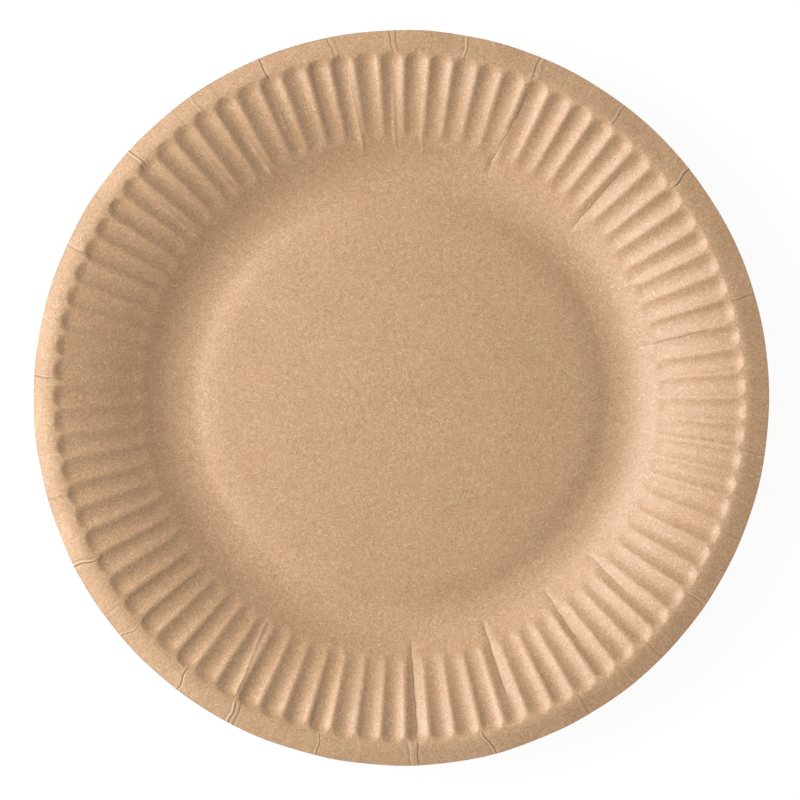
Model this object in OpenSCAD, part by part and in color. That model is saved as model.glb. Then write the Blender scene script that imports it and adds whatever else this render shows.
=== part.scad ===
// Pressed paper plate: a slightly domed centre panel, a narrow standing ring, a curved wall with radial flutes
// and a down-turned lip, all pressed from one sheet of kraft paperboard.
// +Z is up, and the origin is at the plate's centre, on the plane that the plate stands on.

/* [Sheet] */
// Diameter over the outer edge
plate_d = 230; // [190:1:300]
// Thickness of the paperboard
sheet_t = 0.5; // [0.3:0.05:0.8]

/* [Base] */
// Slope of the domed centre panel at its edge, in degrees
dome_angle = 2; // [0:0.5:5]
// Steepest slope of the step from the panel down to the standing ring, in degrees
step_angle = 13; // [6:0.5:18]
// Width of the step from the panel to its steepest point
step_in_w = 9; // [5:0.5:13]
// Width of the step from its steepest point to the standing ring
step_out_w = 2.7; // [2:0.1:6]
// Width of the flat ring that the plate stands on
ring_w = 1; // [0.6:0.2:8]

/* [Wall] */
// Steepest slope of the wall, in degrees
wall_angle = 31; // [22:1:45]
// Slope of the wall where it runs into the crest, in degrees
shoulder_angle = 14.5; // [8:0.5:21]
// Width of the curve from the ring up to the steepest slope
foot_w = 11.5; // [8:0.5:18]
// Width of the stretch that keeps the steepest slope
slope_w = 5; // [3:0.5:10]
// Width of the stretch that eases from the steepest slope to the shoulder
upper_w = 22.9; // [16:0.1:28]

/* [Rim] */
// Width of the rounded crest between the wall and the lip
crest_w = 4.2; // [3.4:0.2:8]
// Width of the straight part of the lip
lip_w = 3.7; // [1:0.1:8]
// Slope of the lip down to the edge, in degrees
lip_angle = 10; // [2:1:35]

/* [Flutes] */
// Number of flutes around the plate
flute_count = 85; // [40:1:90]
// Radial length of the fluted band, seen from above
flute_w = 26.4; // [18:0.2:28]
// Distance from the shoulder to the outer ends of the flutes
flute_lap = 1.2; // [0.6:0.1:1.6]
// Depth of the grooves near their inner ends
flute_depth_in = 0.5; // [0.2:0.05:0.8]
// Depth of the grooves near their outer ends
flute_depth_out = 1.1; // [0.4:0.05:1.6]
// Length over which a groove rises to the sheet at either end
flute_runout = 2.6; // [1.5:0.1:4]
// Share of the pitch that is rounded over as a ridge
ridge_share = 0.38; // [0.2:0.02:0.7]

/* [Hidden] */

kraft = [0.78, 0.64, 0.49];

// Points along each curved stretch of the section
arc_steps = 6;
// Sides of one flute, and fluted rings between the two run-outs
flute_sides = 6;
flute_rings = 3;
// Length and trim of the tongues that key the fluted band into the plain sheet
tongue_w = 1;
tongue_trim = sheet_t / 8;

// Radii of the underside, from the edge inwards: the sloping lip's upper corner is what reaches the full diameter
edge_r = plate_d / 2 - sheet_t * sin(lip_angle);
lip_r = edge_r - lip_w;
shoulder_r = lip_r - crest_w;
bend_r = shoulder_r - upper_w;
slope_r = bend_r - slope_w;
ring_out_r = slope_r - foot_w;
ring_in_r = ring_out_r - ring_w;
step_r = ring_in_r - step_out_w;
panel_r = step_r - step_in_w;
flute_out_r = shoulder_r + flute_lap;
flute_in_r = flute_out_r - flute_w;

// Radius and slope of the underside at each station, with an arc or a straight stretch between stations
stations = [
    [0, 0],
    [panel_r, -dome_angle],
    [step_r, -step_angle],
    [ring_in_r, 0],
    [ring_out_r, 0],
    [slope_r, wall_angle],
    [bend_r, wall_angle],
    [shoulder_r, shoulder_angle],
    [lip_r, -lip_angle],
    [edge_r, -lip_angle],
];

// Height of the underside at station i: the standing ring, at station ring_at, is at 0
ring_at = stretch(ring_in_r) + 1;
function station_z(i) =
    i == ring_at ? 0
    : i < ring_at ? station_z(i + 1) - rise(stations[i], stations[i + 1])
    : station_z(i - 1) + rise(stations[i - 1], stations[i]);

// Rise along an arc between two stations, whose chord has the mean of the two slopes
function rise(a, b) = (b[0] - a[0]) * tan((a[1] + b[1]) / 2);

// Index of the stretch of the section that holds radius r
function stretch(r, i = 0) =
    i + 2 < len(stations) && r > stations[i + 1][0] ? stretch(r, i + 1) : i;

// Slope of the underside at radius r: on an arc, its sine changes evenly with the radius
function slope(r) =
    let (i = stretch(r), a = stations[i], b = stations[i + 1])
    asin(sin(a[1]) + (sin(b[1]) - sin(a[1])) * (r - a[0]) / (b[0] - a[0]));

// Point of the section at radius r, lifted off the underside along its normal
function sheet_point(r, lift) =
    let (i = stretch(r), tilt = slope(r), z = station_z(i) + rise(stations[i], [r, tilt]))
    [r - lift * sin(tilt), z + lift * cos(tilt)];

// Radii of the section's points from one radius to another
function section_radii(from, to) = concat(
    [from],
    [for (i = [0:len(stations) - 2])
        let (a = stations[i], b = stations[i + 1], steps = a[1] == b[1] ? 1 : arc_steps)
        for (k = [1:steps])
            let (r = a[0] + (b[0] - a[0]) * k / steps)
            if (r > from && r < to) r],
    [to]
);

// Depth of a groove's section, as a share of the full depth: the ridge and the groove are two parabolas
function groove(phase) =
    let (p = min(phase, 1 - phase), ridge = ridge_share / 2, bowl = 0.5 - ridge)
    p < ridge ? ridge_share * pow(p / ridge, 2) : 1 - (1 - ridge_share) * pow((0.5 - p) / bowl, 2);

// Smooth part of the plate from one radius to another
module plain_sheet(from, to) {
    radii = section_radii(from, to);
    last = len(radii) - 1;
    rotate_extrude($fn = 180)
        polygon(concat(
            [for (r = radii) sheet_point(r, 0)],
            [for (i = [last:-1:0]) sheet_point(radii[i], sheet_t)]
        ));
}

// Fluted part of the plate, with a tongue inside the plain sheet at either end
module fluted_band() {
    first_r = flute_in_r + flute_runout;
    last_r = flute_out_r - flute_runout;
    rings = concat(
        [[flute_in_r - tongue_w, 0, tongue_trim]],
        [for (k = [0:flute_rings - 1])
            let (share = k / (flute_rings - 1))
            [
                first_r + (last_r - first_r) * share,
                flute_depth_in + (flute_depth_out - flute_depth_in) * share,
                0
            ]],
        [[flute_out_r + tongue_w, 0, tongue_trim]]
    );
    columns = flute_count * flute_sides;
    last_ring = len(rings) - 1;

    function corner(side, ring, column) =
        (side * len(rings) + ring) * columns + column % columns;
    function band_point(side, ring, column) =
        let (
            dip = ring[1] * groove((column % flute_sides) / flute_sides),
            lift = side == 0 ? ring[2] - dip : sheet_t - ring[2] - dip,
            p = sheet_point(ring[0], lift),
            turn = 360 * column / columns
        )
        [p[0] * cos(turn), p[0] * sin(turn), p[1]];

    points = [for (side = [0, 1]) for (ring = rings) for (c = [0:columns - 1]) band_point(side, ring, c)];
    top = [for (j = [0:last_ring - 1]) for (c = [0:columns - 1])
        let (a = corner(1, j, c), b = corner(1, j, c + 1), d = corner(1, j + 1, c), e = corner(1, j + 1, c + 1))
        each [[a, b, e], [a, e, d]]];
    under = [for (j = [0:last_ring - 1]) for (c = [0:columns - 1])
        let (a = corner(0, j, c), b = corner(0, j, c + 1), d = corner(0, j + 1, c), e = corner(0, j + 1, c + 1))
        each [[a, e, b], [a, d, e]]];
    inner_end = [for (c = [0:columns - 1])
        [corner(0, 0, c), corner(0, 0, c + 1), corner(1, 0, c + 1), corner(1, 0, c)]];
    outer_end = [for (c = [0:columns - 1])
        [corner(0, last_ring, c), corner(1, last_ring, c),
         corner(1, last_ring, c + 1), corner(0, last_ring, c + 1)]];
    polyhedron(points, concat(top, under, inner_end, outer_end));
}

module plate() {
    color(kraft)
        union() {
            plain_sheet(0, flute_in_r);
            fluted_band();
            plain_sheet(flute_out_r, edge_r);
        }
}

plate();
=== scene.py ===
"""A pressed kraft paper plate with a fluted wall and a pleated lip, seen from above on a white table."""

import math
from collections import namedtuple

import bpy
import numpy as np
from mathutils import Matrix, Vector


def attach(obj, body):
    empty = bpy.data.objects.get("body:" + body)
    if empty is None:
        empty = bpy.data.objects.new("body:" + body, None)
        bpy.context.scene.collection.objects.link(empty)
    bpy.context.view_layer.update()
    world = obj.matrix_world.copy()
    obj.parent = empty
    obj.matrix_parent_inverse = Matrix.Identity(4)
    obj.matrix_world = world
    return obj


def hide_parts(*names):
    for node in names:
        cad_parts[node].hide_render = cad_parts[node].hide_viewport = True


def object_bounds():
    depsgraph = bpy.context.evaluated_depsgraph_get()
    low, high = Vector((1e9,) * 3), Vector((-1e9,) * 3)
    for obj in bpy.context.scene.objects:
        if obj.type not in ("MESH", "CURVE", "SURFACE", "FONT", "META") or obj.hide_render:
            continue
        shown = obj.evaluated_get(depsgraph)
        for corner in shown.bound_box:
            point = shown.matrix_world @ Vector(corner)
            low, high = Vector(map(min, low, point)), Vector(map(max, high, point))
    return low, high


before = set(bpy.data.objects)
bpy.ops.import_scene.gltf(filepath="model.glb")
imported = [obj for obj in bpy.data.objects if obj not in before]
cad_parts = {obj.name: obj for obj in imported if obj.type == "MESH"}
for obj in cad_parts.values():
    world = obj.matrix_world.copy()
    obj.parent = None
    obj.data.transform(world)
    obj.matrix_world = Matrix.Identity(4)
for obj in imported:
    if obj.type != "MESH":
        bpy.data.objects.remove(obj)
cad_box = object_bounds()

MM = 0.001
FULL_TURN = 2 * math.pi
rng = np.random.default_rng(23)

# Outer diameter, which the solid gives, and thickness of the sheet: lengths are in millimetres up to the mesh
PLATE_D = round((cad_box[1][0] - cad_box[0][0]) / MM, 1)
SHEET_T = 0.5

# Section: slopes in degrees, and widths of its stretches from the centre panel out to the edge
DOME_ANGLE = 2.2
STEP_ANGLE = 12.0
STEP_IN_W = 9.0
STEP_OUT_W = 2.7
RING_W = 1.0
WALL_ANGLE = 31.2
SHOULDER_ANGLE = 13.5
FOOT_W = 11.5
SLOPE_W = 5.0
UPPER_W = 22.9
CREST_W = 4.2
LIP_W = 3.7
LIP_ANGLE = 7.3

# How far the crest's width and the lip's slope swing around the plate, and where each is greatest, in degrees
CREST_SWING = 1.2
CREST_WIDEST = 200.0
LIP_SWING = 5.2
LIP_STEEPEST = 230.0

# Radii of the underside, from the edge inwards
EDGE_R = PLATE_D / 2 - SHEET_T * math.sin(math.radians(LIP_ANGLE))
LIP_R = EDGE_R - LIP_W
SHOULDER_R = LIP_R - CREST_W
BEND_R = SHOULDER_R - UPPER_W
SLOPE_R = BEND_R - SLOPE_W
RING_OUT_R = SLOPE_R - FOOT_W
RING_IN_R = RING_OUT_R - RING_W
STEP_R = RING_IN_R - STEP_OUT_W
PANEL_R = STEP_R - STEP_IN_W

# Flutes: pill-shaped grooves that deepen towards the rim, with narrow ridges between them
FLUTE_COUNT = 85
FLUTE_IN_R = 81.6
FLUTE_OUT_R = 108.65
FLUTE_DEPTH_IN = 0.48
FLUTE_DEPTH_OUT = 1.18
DEPTH_JITTER = 0.08
# Share of the pitch that is rounded over as a ridge, beside a groove and at its outer tip
RIDGE_SHARE = 0.26
TIP_RIDGE_SHARE = 0.1
# How many times shorter than half a circle the inner and outer ends of a groove are
IN_END_SQUEEZE = 1.05
OUT_END_SQUEEZE = 1.12
# Drift of the ridges, as directions in degrees with shares of the pitch, and their chance share on top
RIDGE_DRIFT = ((0, 0.0), (80, 0.17), (145, 0.0), (160, -0.08), (270, -0.1), (360, 0.0))
RIDGE_JITTER = 0.03
# How far the fluted band lies off centre and is stretched to an oval, with the directions in degrees
FLUTE_SHIFT = 0.65
FLUTE_SHIFT_TOWARDS = 160.0
FLUTE_OVAL = 0.45
FLUTE_OVAL_ALONG = 132.0

# Pleats across the lip: angle in degrees, strength, lean to the left of the way out, fold side
PLEATS = (
    (3.1, 0.3, 0.0, 1), (16.4, 0.85, 0.1, 1), (27.3, 0.35, 0.0, -1), (38.2, 1.6, 1.6, 1),
    (45.3, 0.2, 0.2, -1), (52.5, 0.6, 0.2, 1), (53.1, 0.7, 0.2, -1), (58.5, 0.25, 0.1, -1),
    (62.7, 0.25, 0.5, -1), (66.9, 0.35, 0.2, 1), (67.9, 0.9, 0.4, 1), (75.6, 0.3, 0.4, -1),
    (79.4, 0.6, -0.2, 1), (79.9, 0.8, 0.2, -1), (90.9, 0.6, 0.5, 1), (91.8, 0.75, 1.2, 1),
    (100.6, 0.35, 0.6, 1), (101.5, 0.6, 1.4, 1), (105.4, 0.2, 0.6, -1), (112.8, 1.0, 0.5, 1),
    (121.5, 0.25, 0.5, 1), (124.9, 0.35, 0.0, 1), (125.4, 0.5, 0.2, -1), (128.5, 0.3, 0.0, 1),
    (133.5, 0.3, 0.0, -1), (137.7, 0.8, 0.2, 1), (138.2, 1.0, 0.0, -1), (146.7, 0.4, 0.1, 1),
    (155.4, 0.85, 0.0, -1), (163.7, 0.4, 0.0, 1), (176.7, 0.9, -0.4, -1), (189.0, 0.5, 0.0, 1),
    (196.1, 0.45, -0.6, -1), (207.0, 0.9, -0.6, 1), (207.6, 1.2, -1.1, -1), (216.3, 0.5, 0.0, 1),
    (220.2, 0.45, -0.8, 1), (220.7, 0.5, -1.0, -1), (232.1, 1.1, 1.0, -1), (241.2, 1.0, 0.3, 1),
    (241.8, 1.0, 0.5, -1), (242.6, 0.8, 0.5, -1), (251.2, 0.35, 0.0, 1), (256.1, 0.6, 0.0, 1),
    (256.5, 0.8, 0.3, -1), (271.3, 1.1, 1.3, 1), (272.6, 0.8, 0.2, -1), (284.0, 0.8, 1.2, 1),
    (284.5, 1.05, 2.4, -1), (295.3, 0.35, 0.3, 1), (300.7, 0.5, 0.2, -1), (309.0, 0.4, 0.3, 1),
    (315.0, 0.5, 0.2, -1), (325.6, 0.9, -0.6, 1), (337.3, 0.5, -0.2, -1), (346.1, 0.2, 0.0, 1),
    (351.1, 0.75, -0.2, -1),
)
PLEAT_FROM_R = 106.5

# Cracks along the bottoms of grooves: angle, radius at the inner and the outer end, strength, lean, fold side
CRACKS = (
    (12.3, 77.3, 99.0, 0.7, 0.3, -1), (45.4, 75.0, 98.5, 0.8, 1.2, -1), (68.3, 76.0, 102.0, 0.9, -2.6, -1),
    (272.5, 76.5, 107.0, 1.0, 0.8, 1), (289.6, 75.0, 98.5, 1.0, -0.6, 1), (306.2, 75.0, 97.0, 0.8, -0.9, 1),
    (319.6, 76.0, 94.0, 0.7, -1.2, 1),
)

# Pinched ridges that stand up as thin folds, in the same order of values
PINCHES = (
    (26.2, 78.0, 84.0, 0.5, -0.4, -1), (54.0, 76.5, 81.5, 0.5, 0.8, -1), (65.5, 77.0, 82.0, 0.6, 1.0, -1),
    (85.3, 78.0, 85.0, 0.6, 0.7, -1), (87.7, 88.0, 96.0, 0.5, 0.9, -1), (91.5, 79.5, 95.0, 0.7, 0.2, -1),
    (99.0, 78.5, 101.0, 1.0, 0.9, -1), (107.6, 79.5, 84.5, 0.5, 0.0, -1), (113.0, 89.0, 102.0, 0.7, -0.2, -1),
    (120.3, 80.0, 96.0, 0.9, 1.0, -1), (128.9, 80.0, 98.0, 0.6, 0.3, -1), (141.3, 80.0, 104.0, 0.9, -1.2, -1),
    (202.3, 80.5, 93.0, 0.6, 0.0, 1), (210.4, 80.0, 98.5, 0.8, -1.1, 1), (239.9, 81.5, 107.0, 1.0, 2.8, 1),
    (257.0, 79.0, 84.0, 0.5, 0.2, 1), (345.9, 76.0, 84.0, 0.5, 1.2, 1),
)

# Short scuffs where ridges end on the crest: how many ridges have one, its inner end, length and strength,
# and how far it strays from the ridge, in degrees, and leans
SCUFF_SHARE = 0.7
SCUFF_FROM_R = (106.5, 108.5)
SCUFF_LENGTH = (3.0, 6.0)
SCUFF_STRENGTH = (0.3, 0.8)
SCUFF_STRAY = 0.8
SCUFF_LEAN = 1.0

# Kinds of fold at full strength: height of the lap on one side, depth and reach of the valley on both sides,
# how dark the crease is painted, as shade in its gap, and how far the fibres beside it are broken up
FoldKind = namedtuple("FoldKind", "lap valley reach crease wear")
PLEAT = FoldKind(lap=0.12, valley=0.14, reach=0.5, crease=0.85, wear=0.8)
CRACK = FoldKind(lap=0.0, valley=0.32, reach=1.8, crease=0.7, wear=0.35)
PINCH = FoldKind(lap=0.0, valley=-0.32, reach=0.9, crease=0.0, wear=0.5)
SCUFF = FoldKind(lap=0.0, valley=0.03, reach=0.3, crease=0.2, wear=0.9)
# Reach of a lap and of its steep face, reach of the painted shade along a crease, and place and reach of the
# broken fibres beside it
LAP_W = 1.3
LAP_FACE_W = 0.18
CREASE_SHADE_W = 0.28
WEAR_AT = 0.4
WEAR_W = 0.4
# Length over which a fold starts or stops
FOLD_RUN_IN = 2.5
# Sideways wiggle of a fold, and how fast its phase changes around the plate
FOLD_WIGGLE = 0.12
WIGGLE_SPREAD = 50
# How far a leaning fold takes the sheet along, to its sides and past its ends
LEAN_REACH = 2.4
LEAN_RUN_IN = 4.0

# Waves of the pressed rim: height, numbers around the plate, and the power by which they grow outwards
LIP_WAVE_H = 0.16
LIP_WAVES = range(6, 40, 3)
LIP_WAVE_GROWTH = 1.5
RIM_WARP_H = 0.3
RIM_WAVES = (2, 3, 5)
RIM_WARP_GROWTH = 2
EDGE_WOBBLE = 0.08
EDGE_WAVES = (4, 7, 11, 18, 29)
EDGE_WOBBLE_GROWTH = 4

# Darker line along the cut edge: width and strength
CUT_LINE_W = 0.45
CUT_LINE = 0.16

# Mesh columns: places over each flute in pitches, offsets along a fold and along a faint one, and least gaps
FLUTE_COLUMNS = (0, 0.065, 0.13, 0.3, 0.5, 0.7, 0.87, 0.935)
FOLD_COLUMNS = (-0.45, -0.18, 0.0, 0.25, 0.6)
FAINT_COLUMNS = (-0.2, 0.0, 0.25)
FAINT = 0.45
COLUMN_GAP = 0.09
LEAST_GAP = COLUMN_GAP / 3
# Mesh rings: each zone ends at a radius and has a number of steps; coarse ones have every fourth column
COARSE_STEP = 4
COARSE_RINGS = ((6.0, 0), (PANEL_R, 4), (RING_IN_R, 8), (RING_OUT_R, 2), (74.0, 5))
FINE_RINGS = (
    (75.0, 0), (79.5, 2), (86.0, 7), (103.0, 5), (105.6, 3), (110.4, 16), (111.6, 2),
    (EDGE_R - CUT_LINE_W, 2), (EDGE_R, 1),
)
# Angle between faces, in degrees, from which an edge is drawn sharp
SHARP_ANGLE = 50.0

# Kraft board, in linear colour: its darkest grain, two tints of its palest, its fibres, and the painted shade
# in its creases
DARK_KRAFT = (0.385, 0.195, 0.07, 1.0)
ROSY_KRAFT = (0.75, 0.453, 0.266, 1.0)
OLIVE_KRAFT = (0.723, 0.481, 0.279, 1.0)
DARK_FIBRE = (0.32, 0.157, 0.057, 1.0)
PALE_FIBRE = (0.82, 0.6, 0.385, 1.0)
CREASE_SHADE = (0.14, 0.058, 0.02, 1.0)
ROUGHNESS = 0.495
GLOSS = 0.93
# How far pale fibres, broken fibres and the painted crease shade cover the board, and how much grain and
# fibres stand out
PALE_COVER = 0.85
WEAR_COVER = 0.6
CREASE_SHADE_COVER = 0.9
RELIEF_STRENGTH = 0.5
RELIEF_H = 0.05

# Noises in the board: scale per millimetre, detail, and swing to either side of the middle
Noise = namedtuple("Noise", "scale detail swing")
CLOUD = Noise(scale=0.05, detail=3.0, swing=0.05)
MOTTLE = Noise(scale=0.45, detail=3.0, swing=0.09)
GRAIN = Noise(scale=2.6, detail=2.0, swing=0.42)
TINT = Noise(scale=0.2, detail=2.0, swing=0.5)
SHEEN = Noise(scale=0.8, detail=2.0, swing=0.06)
# Values that the noise texture seldom leaves
NOISE_LOW = 0.28
NOISE_HIGH = 0.72

# Fibres: spacing of the cells that may hold one, length and width, share of cells that do, strength and seed
Fibre = namedtuple("Fibre", "spacing length width share strength seed")
DARK_STRAND = Fibre(spacing=1.2, length=1.2, width=0.15, share=0.6, strength=0.6, seed=3)
PALE_STRAND = Fibre(spacing=1.2, length=1.1, width=0.14, share=0.6, strength=0.6, seed=1)
FINE_STRAND = Fibre(spacing=0.9, length=0.8, width=0.12, share=0.5, strength=0.42, seed=2)
BOLD_STRAND = Fibre(spacing=3.0, length=1.5, width=0.2, share=0.5, strength=1.0, seed=4)
# Bend of a fibre, share of its length from the middle to where it fades, and shift of the cells per seed
FIBRE_BEND = 3.0
FIBRE_FADE = 0.35
SEED_SHIFT = (7.3, 3.1, 0.0)

# Table and soft light around the plate, with the table's size in metres
FLOOR_SIZE = 6.0
FLOOR_DROP = 0.05 * MM
FLOOR_GLOW = 0.94
FLOOR_SHADE = 0.1
TABLE_WHITE = 0.8
AMBIENT = 0.22

# Soft box at the left: direction and height in degrees, distance and size in metres, power in watts
KEY_AZIMUTH = 172.0
KEY_ELEVATION = 28.0
KEY_DISTANCE = 0.65
KEY_SIZE = 0.82
KEY_POWER = 9.0

# Where the photograph shows the plate, in pixels of its square frame, and the camera's lens
FRAME_PX = 800
PHOTO_CENTRE_PX = (401.45, 397.87)
PHOTO_RADIUS_PX = 367.75
LENS = 150.0


def stations(angle):
    """Radius and slope of the underside where its stretches meet, from the centre out."""
    lip_r = LIP_R + CREST_SWING * np.cos(angle - math.radians(CREST_WIDEST))
    lip_angle = LIP_ANGLE + LIP_SWING * np.cos(angle - math.radians(LIP_STEEPEST))
    return (
        (0.0, 0.0), (PANEL_R, -DOME_ANGLE), (STEP_R, -STEP_ANGLE), (RING_IN_R, 0.0),
        (RING_OUT_R, 0.0), (SLOPE_R, WALL_ANGLE), (BEND_R, WALL_ANGLE), (SHOULDER_R, SHOULDER_ANGLE),
        (lip_r, -lip_angle), (EDGE_R, -lip_angle),
    )


def height_and_slope(radius, angle):
    """Height over the centre and sine of the slope, which changes evenly between stations, as on an arc."""
    height = np.zeros_like(angle)
    slope = np.zeros_like(angle)
    spots = stations(angle)
    for (from_r, from_slope), (to_r, to_slope) in zip(spots, spots[1:]):
        start = np.radians(from_slope)
        gone = np.clip(radius - from_r, 0, to_r - from_r)
        change = (np.sin(np.radians(to_slope)) - np.sin(start)) * gone / (to_r - from_r)
        slope = slope + change
        height = height + gone * np.tan((start + np.arcsin(np.sin(start) + change)) / 2)
    return height, slope


def section(radius, angle):
    """Height of the underside over the table and sine of its slope."""
    height, slope = height_and_slope(radius, angle)
    ring_height, _ = height_and_slope(RING_IN_R, angle)
    return height - ring_height, slope


def rim_height():
    """Mean height of the cut edge, in metres."""
    around = np.linspace(0, FULL_TURN, FLUTE_COUNT, endpoint=False)
    return float(section(EDGE_R, around)[0].mean()) * MM


def wrapped(angle):
    """The same angle between minus half a turn and half a turn."""
    return (angle + math.pi) % FULL_TURN - math.pi


def smooth(x):
    """Smooth step from 0 to 1."""
    x = np.clip(x, 0, 1)
    return x * x * (3 - 2 * x)


def tent(distance, reach):
    """1 in the middle, falling evenly to 0 at the reach on either side."""
    return np.clip(1 - np.abs(distance) / reach, 0, 1)


def waves(angle, counts, phases):
    """Sum of sine waves around the plate, about 1 high."""
    return sum(np.sin(n * angle + p) for n, p in zip(counts, phases)) / math.sqrt(len(counts))


def ridge_angles():
    """Angle of each ridge, with the unevenness of a real press tool, and the first one again at the end."""
    pitch = FULL_TURN / FLUTE_COUNT
    index = np.arange(FLUTE_COUNT + 1)
    drift = np.interp(np.degrees(index * pitch), *zip(*RIDGE_DRIFT))
    jitter = rng.uniform(-RIDGE_JITTER, RIDGE_JITTER, FLUTE_COUNT + 1)
    jitter[-1] = jitter[0]
    return (index + drift + jitter) * pitch


def groove_share(distance, ridge_share):
    """Depth of a groove at a distance from its middle, in pitches, as a share of the full depth."""
    ridge = ridge_share / 2
    bowl = 0.5 - ridge
    from_ridge = np.clip(0.5 - distance, 0, 0.5)
    over_ridge = ridge_share * (from_ridge / ridge) ** 2
    in_bowl = 1 - (1 - ridge_share) * ((0.5 - from_ridge) / bowl) ** 2
    return np.where(from_ridge < ridge, over_ridge, in_bowl)


def flute_turns(angle, ridges):
    """Place around the plate counted in flutes: whole numbers are ridges."""
    spots = np.concatenate((ridges[:-1] - FULL_TURN, ridges[:-1], ridges[:-1] + FULL_TURN))
    return np.interp(angle, spots, np.arange(-FLUTE_COUNT, 2 * FLUTE_COUNT))


def flute_lift(radius, angle, ridges, depths):
    """How far the flutes press the sheet down at each point."""
    radius = radius - FLUTE_SHIFT * np.cos(angle - math.radians(FLUTE_SHIFT_TOWARDS))
    radius = radius - FLUTE_OVAL * np.cos(2 * (angle - math.radians(FLUTE_OVAL_ALONG)))
    turns = flute_turns(angle, ridges)
    flute = np.floor(turns).astype(int) % FLUTE_COUNT
    pitch = FULL_TURN / FLUTE_COUNT * radius
    across = np.abs(turns - np.floor(turns) - 0.5) * pitch
    half_turn = math.pi / FLUTE_COUNT
    spine_in = FLUTE_IN_R * (1 + half_turn / IN_END_SQUEEZE)
    spine_out = FLUTE_OUT_R * (1 - half_turn / OUT_END_SQUEEZE)
    past_out = np.maximum((radius - spine_out) * OUT_END_SQUEEZE, 0)
    past_in = np.maximum((spine_in - radius) * IN_END_SQUEEZE, 0)
    towards_tip = np.arctan2(past_out, across) / (math.pi / 2)
    ridge_share = RIDGE_SHARE + (TIP_RIDGE_SHARE - RIDGE_SHARE) * towards_tip
    share = groove_share(np.hypot(across, past_out + past_in) / pitch, ridge_share)
    along = np.clip((radius - spine_in) / (spine_out - spine_in), 0, 1)
    depth = FLUTE_DEPTH_IN + (FLUTE_DEPTH_OUT - FLUTE_DEPTH_IN) * along
    return -depth * depths[flute] * share


Fold = namedtuple("Fold", "kind angle inner outer strength lean side")


def make_fold(kind, degrees, *values):
    """A fold of one kind, with its angle turned from degrees to radians."""
    return Fold(kind, math.radians(degrees), *values)


def all_folds(ridges):
    """Every pleat, crack, pinched ridge and scuff."""
    past_edge = EDGE_R + FOLD_RUN_IN
    folds = [make_fold(PLEAT, angle, PLEAT_FROM_R, past_edge, *values) for angle, *values in PLEATS]
    folds += [make_fold(CRACK, *values) for values in CRACKS]
    folds += [make_fold(PINCH, *values) for values in PINCHES]
    for ridge in ridges[:-1]:
        if rng.random() < SCUFF_SHARE:
            degrees = math.degrees(ridge) + rng.uniform(-SCUFF_STRAY, SCUFF_STRAY)
            inner = rng.uniform(*SCUFF_FROM_R)
            outer = inner + rng.uniform(*SCUFF_LENGTH)
            strength = rng.uniform(*SCUFF_STRENGTH)
            lean = rng.uniform(-SCUFF_LEAN, SCUFF_LEAN)
            folds.append(make_fold(SCUFF, degrees, inner, outer, strength, lean, 1))
    return folds


def lean_shift(radius, columns, folds):
    """Angle by which the mesh columns lean at a radius, so that they follow the folds."""
    shift = np.zeros_like(columns)
    for fold in folds:
        along = smooth((radius - fold.inner) / (fold.outer - fold.inner)) - 0.5
        past_inner = smooth((radius - fold.inner + LEAN_RUN_IN) / LEAN_RUN_IN)
        short_of_outer = smooth((fold.outer + LEAN_RUN_IN - radius) / LEAN_RUN_IN)
        reach = np.exp(-((wrapped(columns - fold.angle) * radius / LEAN_REACH) ** 2))
        wiggle = FOLD_WIGGLE * math.sin(radius + WIGGLE_SPREAD * fold.angle)
        shift += (fold.lean * along + wiggle) * (past_inner * short_of_outer) * reach / radius
    return shift


def fold_lift(radius, columns, folds):
    """Lift of the sheet by the folds along one ring, painted shade in the creases and wear of the fibres."""
    lift = np.zeros_like(columns)
    crease = np.zeros_like(columns)
    wear = np.zeros_like(columns)
    for fold in folds:
        run_in = smooth((radius - fold.inner) / FOLD_RUN_IN) * smooth((fold.outer - radius) / FOLD_RUN_IN)
        present = fold.strength * run_in
        if present > 0:
            across = wrapped(columns - fold.angle) * radius * fold.side
            lap = np.where(across > 0, np.exp(-across / LAP_W), np.clip(1 + across / LAP_FACE_W, 0, 1))
            lift += present * (fold.kind.lap * lap - fold.kind.valley * tent(across, fold.kind.reach))
            # Painted shade along the crease, where shade falls in its gap
            crease += present * fold.kind.crease * tent(across, CREASE_SHADE_W)
            wear += present * fold.kind.wear * tent(across - WEAR_AT, WEAR_W)
    return lift, crease, wear


# What chance gives one plate: its ridges and their depths, the phases of its waves and its folds
Chance = namedtuple("Chance", "ridges depths lip_phases rim_phases edge_phases folds")


def draw_chance():
    """Draws all that is left to chance, always in the same order."""
    ridges = ridge_angles()
    depths = 1 + rng.uniform(-DEPTH_JITTER, DEPTH_JITTER, FLUTE_COUNT)
    phases = [rng.uniform(0, FULL_TURN, len(counts)) for counts in (LIP_WAVES, RIM_WAVES, EDGE_WAVES)]
    return Chance(ridges, depths, *phases, all_folds(ridges))


def column_angles(ridges, folds):
    """Angles of the mesh columns: a few over each flute, with a close set along every fold."""
    turns = np.add.outer(np.arange(FLUTE_COUNT), FLUTE_COLUMNS).ravel()
    plain = np.interp(turns, np.arange(FLUTE_COUNT + 1), ridges)
    close = np.array([
        fold.angle + fold.side * offset / ((min(fold.outer, EDGE_R) + fold.inner) / 2)
        for fold in folds
        for offset in (FOLD_COLUMNS if fold.strength > FAINT else FAINT_COLUMNS)
    ])
    apart = np.abs(wrapped(plain[:, None] - close[None, :])).min(axis=1) > COLUMN_GAP / EDGE_R
    angles = np.sort(np.concatenate((plain[apart], close)) % FULL_TURN)
    angles = angles[np.append(True, np.diff(angles) > LEAST_GAP / EDGE_R)]
    while len(angles) % COARSE_STEP:
        gaps = np.diff(np.append(angles, angles[0] + FULL_TURN))
        widest = int(gaps.argmax())
        angles = np.insert(angles, widest + 1, angles[widest] + gaps[widest] / 2)
    return angles


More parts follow.
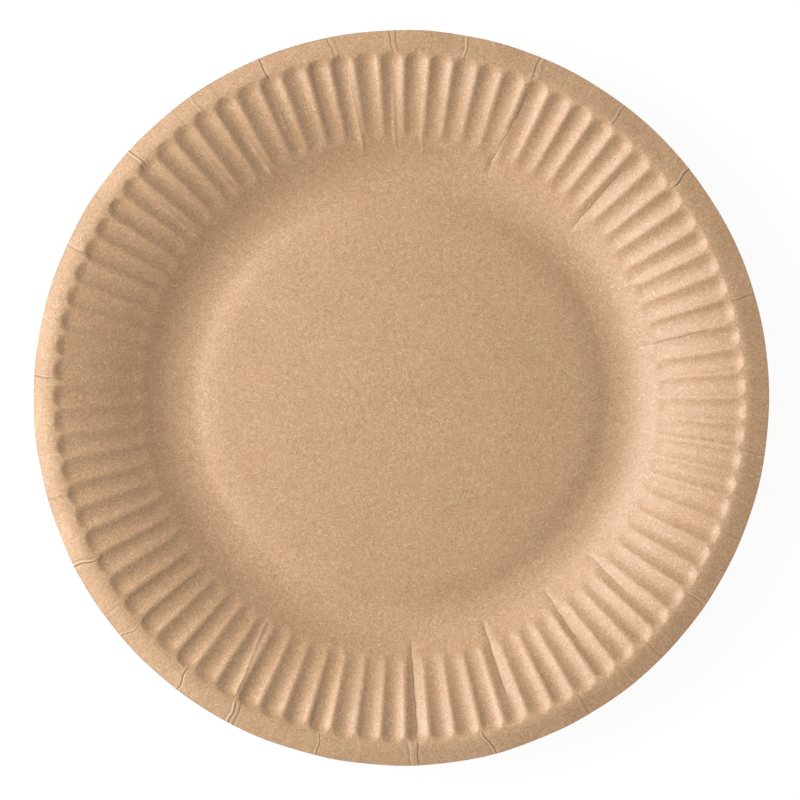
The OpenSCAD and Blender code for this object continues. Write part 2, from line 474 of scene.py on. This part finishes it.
def ring_radii(zones):
    """Radii of the mesh rings: each zone ends at a radius and is cut into a number of even steps."""
    radii = [zones[0][0]]
    for (start, _), (end, steps) in zip(zones, zones[1:]):
        radii.extend(np.linspace(start, end, steps + 1)[1:])
    return radii


def plate_ring(radius, columns, chance):
    """Points of the top side and the underside along one ring, in metres, and the painted crease shade and
    wear there.
    """
    angle = columns + lean_shift(radius, columns, chance.folds)
    height, slope = section(radius, angle)
    cosine = np.sqrt(1 - slope ** 2)
    folded, crease, wear = fold_lift(radius, columns, chance.folds)
    # The darker line along the cut edge is added to the same mask as the painted crease shade
    crease += CUT_LINE * max(0.0, 1 - (EDGE_R - radius) / CUT_LINE_W)
    lip_share = max(0.0, (radius - SHOULDER_R) / (EDGE_R - SHOULDER_R))
    rim_share = max(0.0, (radius - RING_OUT_R) / (EDGE_R - RING_OUT_R))
    pressed = flute_lift(radius, angle, chance.ridges, chance.depths) + folded
    pressed += LIP_WAVE_H * lip_share ** LIP_WAVE_GROWTH * waves(angle, LIP_WAVES, chance.lip_phases)
    warp = RIM_WARP_H * rim_share ** RIM_WARP_GROWTH * waves(angle, RIM_WAVES, chance.rim_phases)
    spread = EDGE_WOBBLE * lip_share ** EDGE_WOBBLE_GROWTH * waves(angle, EDGE_WAVES, chance.edge_phases)
    sides = []
    for lift in (pressed + SHEET_T, pressed):
        out = radius + spread - lift * slope
        up = height + warp + lift * cosine
        sides.append(np.stack((out * np.cos(angle), out * np.sin(angle), up), axis=1) * MM)
    return sides, crease, wear


def ring_faces(inner, outer):
    """Quads between two rings with the same number of points, wound to face up."""
    return np.stack((inner, outer, np.roll(outer, -1), np.roll(inner, -1)), axis=1).tolist()


def fan_faces(coarse, fine):
    """Triangles between a coarse ring and a finer one around it."""
    faces = []
    half = COARSE_STEP // 2
    for k, (a, b) in enumerate(zip(coarse, np.roll(coarse, -1))):
        edge = [int(fine[(k * COARSE_STEP + j) % len(fine)]) for j in range(COARSE_STEP + 1)]
        faces += [(int(a), edge[j], edge[j + 1]) for j in range(half)]
        faces.append((int(a), edge[half], int(b)))
        faces += [(int(b), edge[j], edge[j + 1]) for j in range(half, COARSE_STEP)]
    return faces


SheetSide = namedtuple("SheetSide", "points faces crease wear edge")


def sheet_side(rings, side, lift, first):
    """Points of one side of the sheet, counted from first, its faces seen from above, its painted crease
    shade and wear, and its edge.
    """
    centre_height, _ = section(0.0, np.zeros(1))
    points = [np.array([[0, 0, (centre_height[0] + lift) * MM]])]
    crease_shades = [np.zeros(1)]
    wears = [np.zeros(1)]
    index = []
    count = first + 1
    for sides, crease, wear in rings:
        points.append(sides[side])
        crease_shades.append(crease)
        wears.append(wear)
        index.append(np.arange(count, count + len(crease)))
        count += len(crease)
    faces = [(first, int(a), int(b)) for a, b in zip(index[0], np.roll(index[0], -1))]
    for inner, outer in zip(index, index[1:]):
        faces += ring_faces(inner, outer) if len(inner) == len(outer) else fan_faces(inner, outer)
    return SheetSide(np.concatenate(points), faces, np.concatenate(crease_shades), np.concatenate(wears), index[-1])


def build_plate():
    """The pressed sheet as one closed mesh: top side, underside and the cut edge between them."""
    chance = draw_chance()
    columns = column_angles(chance.ridges, chance.folds)
    rings = [plate_ring(r, columns[::COARSE_STEP], chance) for r in ring_radii(COARSE_RINGS)]
    rings += [plate_ring(r, columns, chance) for r in ring_radii(FINE_RINGS)]
    every_second_ring = rings[::-2][::-1]
    top = sheet_side(rings, 0, SHEET_T, 0)
    under = sheet_side(every_second_ring, 1, 0.0, len(top.points))
    faces = top.faces + [face[::-1] for face in under.faces] + ring_faces(top.edge, under.edge)

    mesh = bpy.data.meshes.new("pressed_sheet")
    mesh.from_pydata(np.concatenate((top.points, under.points)).tolist(), [], faces)
    mesh.polygons.foreach_set("use_smooth", np.ones(len(mesh.polygons), bool))
    mesh.set_sharp_from_angle(angle=math.radians(SHARP_ANGLE))
    # Painted crease shade and wear of the fibres, kept on the points for the material
    marks = {"crease": (top.crease, under.crease), "wear": (top.wear, under.wear)}
    for name, both_sides in marks.items():
        mesh.attributes.new(name, "FLOAT", "POINT").data.foreach_set("value", np.concatenate(both_sides))
    plate = bpy.data.objects.new("pressed_sheet", mesh)
    bpy.context.scene.collection.objects.link(plate)
    return plate


def empty_tree(owner):
    """Node tree of a material or a world, with nothing in it."""
    owner.use_nodes = True
    owner.node_tree.nodes.clear()
    return owner.node_tree


def make_node(tree, kind, settings=None, **inputs):
    """Adds a node, sets its options, and sets or links its inputs, by name or as i0, i1 and so on."""
    node = tree.nodes.new(kind)
    for name, value in (settings or {}).items():
        setattr(node, name, value)
    for name, value in inputs.items():
        socket = node.inputs[int(name[1:])] if name[0] == "i" and name[1:].isdigit() else node.inputs[name]
        if isinstance(value, bpy.types.NodeSocket):
            tree.links.new(value, socket)
        else:
            socket.default_value = value
    return node


def math_node(tree, operation, a, b=0.0):
    """Result of one sum."""
    return make_node(tree, "ShaderNodeMath", {"operation": operation}, i0=a, i1=b).outputs[0]


def mix_colour(tree, share, a, b):
    """Mixes two colours by a mask."""
    return make_node(tree, "ShaderNodeMix", {"data_type": "RGBA"}, i0=share, i6=a, i7=b).outputs[2]


def noise(tree, place, kind, middle=0.0):
    """Noise that swings about a middle value."""
    texture = make_node(tree, "ShaderNodeTexNoise", None, Vector=place, Scale=kind.scale, Detail=kind.detail)
    limits = {
        "From Min": NOISE_LOW, "From Max": NOISE_HIGH,
        "To Min": middle - kind.swing, "To Max": middle + kind.swing,
    }
    return make_node(tree, "ShaderNodeMapRange", None, Value=texture.outputs["Fac"], **limits).outputs[0]


def fade_out(tree, value, start, end):
    """1 up to the start, falling smoothly to 0 at the end."""
    limits = {"From Min": start, "From Max": end, "To Min": 1.0, "To Max": 0.0}
    smoothly = {"interpolation_type": "SMOOTHSTEP"}
    return make_node(tree, "ShaderNodeMapRange", smoothly, Value=value, **limits).outputs[0]


def fibres(tree, place, kind):
    """Mask of short curved fibres at random angles, at most one in each cell of an uneven grid."""
    moved = make_node(
        tree, "ShaderNodeVectorMath", {"operation": "MULTIPLY_ADD"},
        i0=place, i1=(1 / kind.spacing,) * 3, i2=[kind.seed * shift for shift in SEED_SHIFT],
    ).outputs[0]
    cell = make_node(
        tree, "ShaderNodeTexVoronoi", {"voronoi_dimensions": "2D"}, Vector=moved, Scale=1.0, Randomness=1.0
    ).outputs
    apart = make_node(
        tree, "ShaderNodeVectorMath", {"operation": "SUBTRACT"}, i0=moved, i1=cell["Position"]
    ).outputs[0]
    chance = make_node(tree, "ShaderNodeSeparateColor", None, Color=cell["Color"]).outputs
    turn = math_node(tree, "MULTIPLY", chance[0], FULL_TURN)
    turned = make_node(
        tree, "ShaderNodeVectorRotate", {"rotation_type": "Z_AXIS"}, Vector=apart, Angle=turn
    ).outputs[0]
    local = make_node(tree, "ShaderNodeSeparateXYZ", None, Vector=turned).outputs
    length = kind.length / kind.spacing
    bend = math_node(tree, "MULTIPLY", math_node(tree, "SUBTRACT", chance[1], 0.5), FIBRE_BEND / length)
    curve = math_node(tree, "MULTIPLY", math_node(tree, "MULTIPLY", local[0], local[0]), bend)
    off_line = math_node(tree, "ABSOLUTE", math_node(tree, "SUBTRACT", local[1], curve))
    across = fade_out(tree, off_line, 0.0, kind.width / kind.spacing)
    along = fade_out(tree, math_node(tree, "ABSOLUTE", local[0]), FIBRE_FADE * length, length / 2)
    present = math_node(tree, "LESS_THAN", chance[2], kind.share)
    strength = math_node(tree, "MULTIPLY", present, kind.strength)
    return math_node(tree, "MULTIPLY", math_node(tree, "MULTIPLY", across, along), strength)


def kraft_paper():
    """Uncoated brown board: clouds, fine grain, pale and dark fibres, and a slightly furred surface."""
    material = bpy.data.materials.new("kraft_paper")
    tree = empty_tree(material)
    spot = make_node(tree, "ShaderNodeTexCoord").outputs["Object"]
    place = make_node(
        tree, "ShaderNodeVectorMath", {"operation": "SCALE"}, i0=spot, Scale=1 / MM
    ).outputs[0]

    clouds = math_node(tree, "ADD", noise(tree, place, CLOUD), noise(tree, place, MOTTLE))
    grain = noise(tree, place, GRAIN)
    shade = math_node(tree, "ADD", clouds, math_node(tree, "ADD", grain, 0.5))
    tint = noise(tree, place, TINT, 0.5)
    board = mix_colour(tree, shade, DARK_KRAFT, mix_colour(tree, tint, ROSY_KRAFT, OLIVE_KRAFT))

    dark = fibres(tree, place, DARK_STRAND)
    faint = math_node(tree, "MAXIMUM", fibres(tree, place, PALE_STRAND), fibres(tree, place, FINE_STRAND))
    pale = math_node(tree, "MAXIMUM", faint, fibres(tree, place, BOLD_STRAND))
    wear = make_node(tree, "ShaderNodeAttribute", {"attribute_name": "wear"}).outputs["Fac"]
    crease = make_node(tree, "ShaderNodeAttribute", {"attribute_name": "crease"}).outputs["Fac"]
    coloured = mix_colour(tree, dark, board, DARK_FIBRE)
    coloured = mix_colour(tree, math_node(tree, "MULTIPLY", pale, PALE_COVER), coloured, PALE_FIBRE)
    coloured = mix_colour(tree, math_node(tree, "MULTIPLY", wear, WEAR_COVER), coloured, PALE_FIBRE)
    # Painted shade: creases darken towards dark brown where shade falls in their gaps; the same mask holds
    # the darker line along the cut edge
    coloured = mix_colour(tree, math_node(tree, "MULTIPLY", crease, CREASE_SHADE_COVER), coloured, CREASE_SHADE)

    relief = math_node(tree, "ADD", grain, pale)
    bump = make_node(
        tree, "ShaderNodeBump", None, Strength=RELIEF_STRENGTH, Distance=RELIEF_H * MM, Height=relief
    ).outputs[0]
    rough = noise(tree, place, SHEEN, ROUGHNESS)
    shader = make_node(
        tree, "ShaderNodeBsdfPrincipled", None,
        **{"Base Color": coloured, "Roughness": rough, "Specular IOR Level": GLOSS, "Normal": bump},
    ).outputs[0]
    make_node(tree, "ShaderNodeOutputMaterial", None, Surface=shader)
    return material


def grey(level):
    """A colour without a tint."""
    return (level, level, level, 1.0)


def seen_ray(tree):
    """1 for rays that show the background: straight from the camera, mirrored or passed through."""
    path = make_node(tree, "ShaderNodeLightPath").outputs
    mirrored = math_node(tree, "MAXIMUM", path["Is Glossy Ray"], path["Is Transmission Ray"])
    return math_node(tree, "MAXIMUM", path["Is Camera Ray"], mirrored)


def white_floor():
    """A white table that reads as white in the picture and keeps a faint shadow of the plate."""
    bpy.ops.mesh.primitive_plane_add(size=FLOOR_SIZE, location=(0, 0, -FLOOR_DROP))
    floor = bpy.context.object
    floor.name = "table"
    material = bpy.data.materials.new("white_table")
    tree = empty_tree(material)
    glow = make_node(tree, "ShaderNodeEmission", None, Color=grey(1.0), Strength=FLOOR_GLOW).outputs[0]
    faint = make_node(tree, "ShaderNodeBsdfDiffuse", None, Color=grey(FLOOR_SHADE)).outputs[0]
    plain = make_node(tree, "ShaderNodeBsdfDiffuse", None, Color=grey(TABLE_WHITE)).outputs[0]
    shown = make_node(tree, "ShaderNodeAddShader", None, i0=glow, i1=faint).outputs[0]
    mixed = make_node(tree, "ShaderNodeMixShader", None, i0=seen_ray(tree), i1=plain, i2=shown).outputs[0]
    make_node(tree, "ShaderNodeOutputMaterial", None, Surface=mixed)
    floor.data.materials.append(material)


def white_world():
    """Soft light from all sides, and a white backdrop for what the camera sees past the table."""
    world = bpy.data.worlds.new("studio")
    bpy.context.scene.world = world
    tree = empty_tree(world)
    soft = make_node(tree, "ShaderNodeBackground", None, Color=grey(1.0), Strength=AMBIENT).outputs[0]
    white = make_node(tree, "ShaderNodeBackground", None, Color=grey(1.0), Strength=1.0).outputs[0]
    mixed = make_node(tree, "ShaderNodeMixShader", None, i0=seen_ray(tree), i1=soft, i2=white).outputs[0]
    make_node(tree, "ShaderNodeOutputWorld", None, Surface=mixed)


def key_light():
    """One soft box to the left of the plate, turned towards it."""
    light = bpy.data.lights.new("soft_box", "AREA")
    light.shape = "SQUARE"
    light.size = KEY_SIZE
    light.energy = KEY_POWER
    lamp = bpy.data.objects.new("soft_box", light)
    turn = math.radians(KEY_AZIMUTH)
    rise = math.radians(KEY_ELEVATION)
    lamp.location = (
        KEY_DISTANCE * math.cos(rise) * math.cos(turn),
        KEY_DISTANCE * math.cos(rise) * math.sin(turn),
        KEY_DISTANCE * math.sin(rise),
    )
    lamp.rotation_mode = "QUATERNION"
    lamp.rotation_quaternion = lamp.location.to_track_quat("Z", "Y")
    bpy.context.scene.collection.objects.link(lamp)


def camera_above(rim_z):
    """A camera straight above, placed so that the plate's edge falls where the photograph has it."""
    data = bpy.data.cameras.new("camera")
    data.lens = LENS
    camera = bpy.data.objects.new("camera", data)
    pixel = PLATE_D / 2 * MM / PHOTO_RADIUS_PX
    reach = FRAME_PX * pixel * LENS / data.sensor_width
    middle = FRAME_PX / 2
    camera.location = (
        (middle - PHOTO_CENTRE_PX[0]) * pixel,
        (PHOTO_CENTRE_PX[1] - middle) * pixel,
        rim_z + reach,
    )
    bpy.context.scene.collection.objects.link(camera)
    bpy.context.scene.camera = camera


plate = build_plate()
plate.data.materials.append(kraft_paper())
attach(plate, "root")
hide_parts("plate")

white_floor()
white_world()
key_light()
camera_above(rim_height())
bpy.context.scene.view_settings.view_transform = "Standard"
